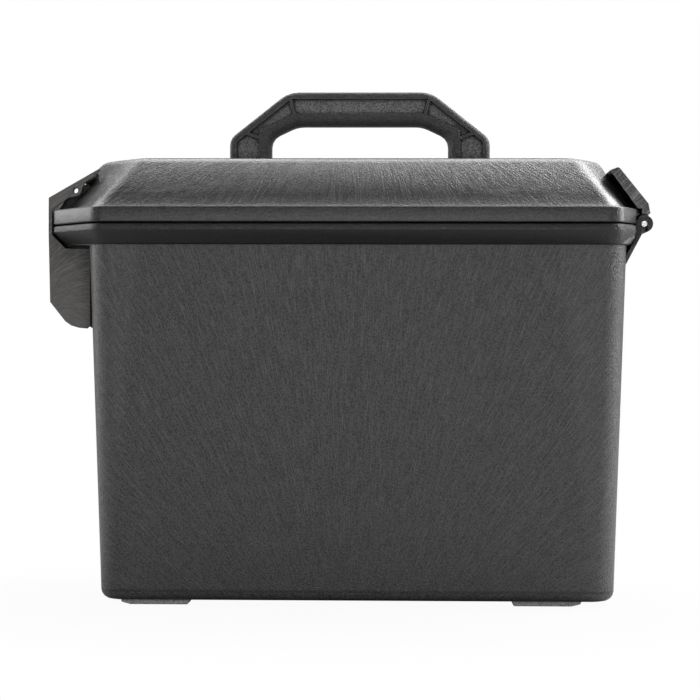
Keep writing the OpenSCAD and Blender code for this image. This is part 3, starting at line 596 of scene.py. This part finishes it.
# Painted light: the end faces get a much paler, lit copy of the leaf's colour.
lit_end_mask = maths(tree, "GREATER_THAN", unsigned(tree, facing["Y"]), square_on)
top = blend_colour(tree, tone, grey(0.008, 0.02), grey(0.075, 0.02))
lit_ends = blend_colour(tree, tone, grey(0.02, 0.02), grey(0.32, 0.02))
colour = blend_colour(tree, lit_end_mask, top, lit_ends)
# Painted highlight along the edges.
colour = paint_edge_highlight(tree, colour, fitting_edge, share=0.9, level=0.4)
rough = weigh(tree, 0.46, (streaks, -0.12))
wire_finish(tree, plastic, colour, rough, streaks, strength=0.7, depth=0.0003)
print("material:", hinge_plastic.name)

# %% [markdown]
# ## Rubber
#
# The feet are pressed grey rubber, a little glossier than the case, and their grey is
# painted paler still, as a painted reflection of the white floor; the seal is soft, black
# and dull. Both have a fine skin, and only the numbers differ.

# %% Rubber
def rubber(name, dark, pale, smoothest, pebbles):
    paint, tree, skin = new_material(name)
    place = place_of(tree)[0]
    height, speckle = pebbled(tree, place, pebbles)
    colour = blend_colour(tree, speckle, grey(dark), grey(pale))
    # Painted highlight along the edges.
    colour = paint_edge_highlight(tree, colour, reach=0.001, share=0.4, level=pale * 2)
    rough = weigh(tree, smoothest, (speckle, 0.15))
    wire_finish(tree, skin, colour, rough, height, strength=0.5, depth=0.0002)
    print("material:", name)
    return paint


# The feet's pale grey is partly grey rubber and partly a painted reflection of the floor.
foot_rubber = rubber("foot_rubber", dark=0.14, pale=0.42, smoothest=0.2, pebbles=900.0)
seal_rubber = rubber("seal_rubber", dark=0.01, pale=0.03, smoothest=0.7, pebbles=1400.0)

# %% [markdown]
# ## Steel
#
# The pins and screws are drawn steel rod, so fine lines run along them. Noise that is
# long along the rod and fine round it varies the tone and the roughness.

# %% Steel
fine_round, long_along = 1800.0, 60.0
pin_steel, tree, metal = new_material("pin_steel")
place = place_of(tree)[0]
drawn = add_node(tree, "ShaderNodeMapping", values={
    "Vector": place, "Scale": (fine_round, long_along, fine_round)})
lines = add_node(tree, "ShaderNodeTexNoise", values={
    "Vector": drawn.outputs["Vector"], "Scale": 1.0, "Detail": 3.0}).outputs[0]
bright = soft_step(tree, lines, 0.3, 0.7)
colour = blend_colour(tree, bright, grey(0.42), grey(0.66, 0.01))
tree.links.new(colour, metal.inputs["Base Color"])
tree.links.new(weigh(tree, 0.2, (lines, 0.25)), metal.inputs["Roughness"])
metal.inputs["Metallic"].default_value = 1.0
print("material:", pin_steel.name)

# %% [markdown]
# ## Soft edges
#
# A moulded edge is never knife sharp. A CAD solid arrives as loose triangles, so a copy
# is merged and its flat faces are joined. Then the ring-shaped faces are cut into plain
# convex ones, so that none folds over itself, and a Bevel modifier rounds the hard edges.
# The copy stands for the CAD solid, which stays for the physics.

# %% Merged copies
merge_within = 0.00002
flat_within = math.radians(0.5)


def edit_all(piece):
    bpy.ops.object.select_all(action="DESELECT")
    bpy.context.view_layer.objects.active = piece
    piece.select_set(True)
    bpy.ops.object.mode_set(mode="EDIT")
    bpy.ops.mesh.select_mode(type="FACE")
    bpy.ops.mesh.select_all(action="SELECT")


def merged_copy(node, name):
    piece = bpy.data.objects.new(name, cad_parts[node].data.copy())
    bpy.context.collection.objects.link(piece)
    edit_all(piece)
    bpy.ops.mesh.remove_doubles(threshold=merge_within)
    bpy.ops.mesh.customdata_custom_splitnormals_clear()
    bpy.ops.mesh.dissolve_limited(angle_limit=flat_within)
    bpy.ops.object.mode_set(mode="OBJECT")
    print(name, "merged to", len(piece.data.vertices), "points")
    return piece


# %% Rounding
hard_edge = math.radians(35)
smooth_below = math.radians(32)


def soften(piece, width, steps):
    edit_all(piece)
    bpy.ops.mesh.vert_connect_concave()
    bpy.ops.object.mode_set(mode="OBJECT")
    rounding = piece.modifiers.new("soft_edges", "BEVEL")
    rounding.width = width
    rounding.segments = steps
    rounding.limit_method = "ANGLE"
    rounding.angle_limit = hard_edge
    rounding.use_clamp_overlap = False
    rounding.loop_slide = False
    bpy.ops.object.modifier_apply(modifier=rounding.name)
    bpy.ops.object.shade_smooth_by_angle(angle=smooth_below)
    print(piece.name, "has", len(piece.data.polygons), "faces")


# %% [markdown]
# ## The moulded pieces
#
# The tub, the lid, the handle, the latch, the hinge leaf and the feet already have their
# shape, so each copy only needs its edges rounded, by half a millimetre or less. The body
# that a copy rides on is the one that carries its CAD solid, so it moves with its joint.

# %% The moulded pieces
def soft_copy(node, name, body, paint, width, steps=2):
    piece = merged_copy(node, name)
    soften(piece, width, steps)
    piece.data.materials.clear()
    piece.data.materials.append(paint)
    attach(piece, body)
    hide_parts(node)


case_round, grip_round, small_round = 0.0004, 0.0005, 0.0003
soft_copy("tub", "moulded_tub", "tub", wall_plastic, case_round)
soft_copy("lid", "moulded_lid", "lid", lid_plastic, case_round)
soft_copy("handle", "moulded_handle", "handle", handle_plastic,
          grip_round)
soft_copy("latch_lever", "moulded_latch", "latch", latch_plastic,
          small_round)
soft_copy("hinge_leaf", "moulded_hinge_leaf", "lid", hinge_plastic,
          small_round)
for corner in ("front_left", "front_right", "rear_left", "rear_right"):
    soft_copy("foot_" + corner, "rubber_foot_" + corner, "tub",
              foot_rubber, small_round, steps=3)

# %% [markdown]
# ## Pins, screws and seal
#
# These solids already have their real shape, so they stay as they are and only get
# their finish.

# %% Pins, screws and seal
def finish_node(node, paint):
    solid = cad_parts[node]
    solid.data.materials.clear()
    solid.data.materials.append(paint)
    print(node, "gets", paint.name)


for node in ("hinge_pin", "latch_pin", "handle_pin_left", "handle_pin_right",
             "hinge_leaf_screws"):
    finish_node(node, pin_steel)
finish_node("lid_gasket", seal_rubber)
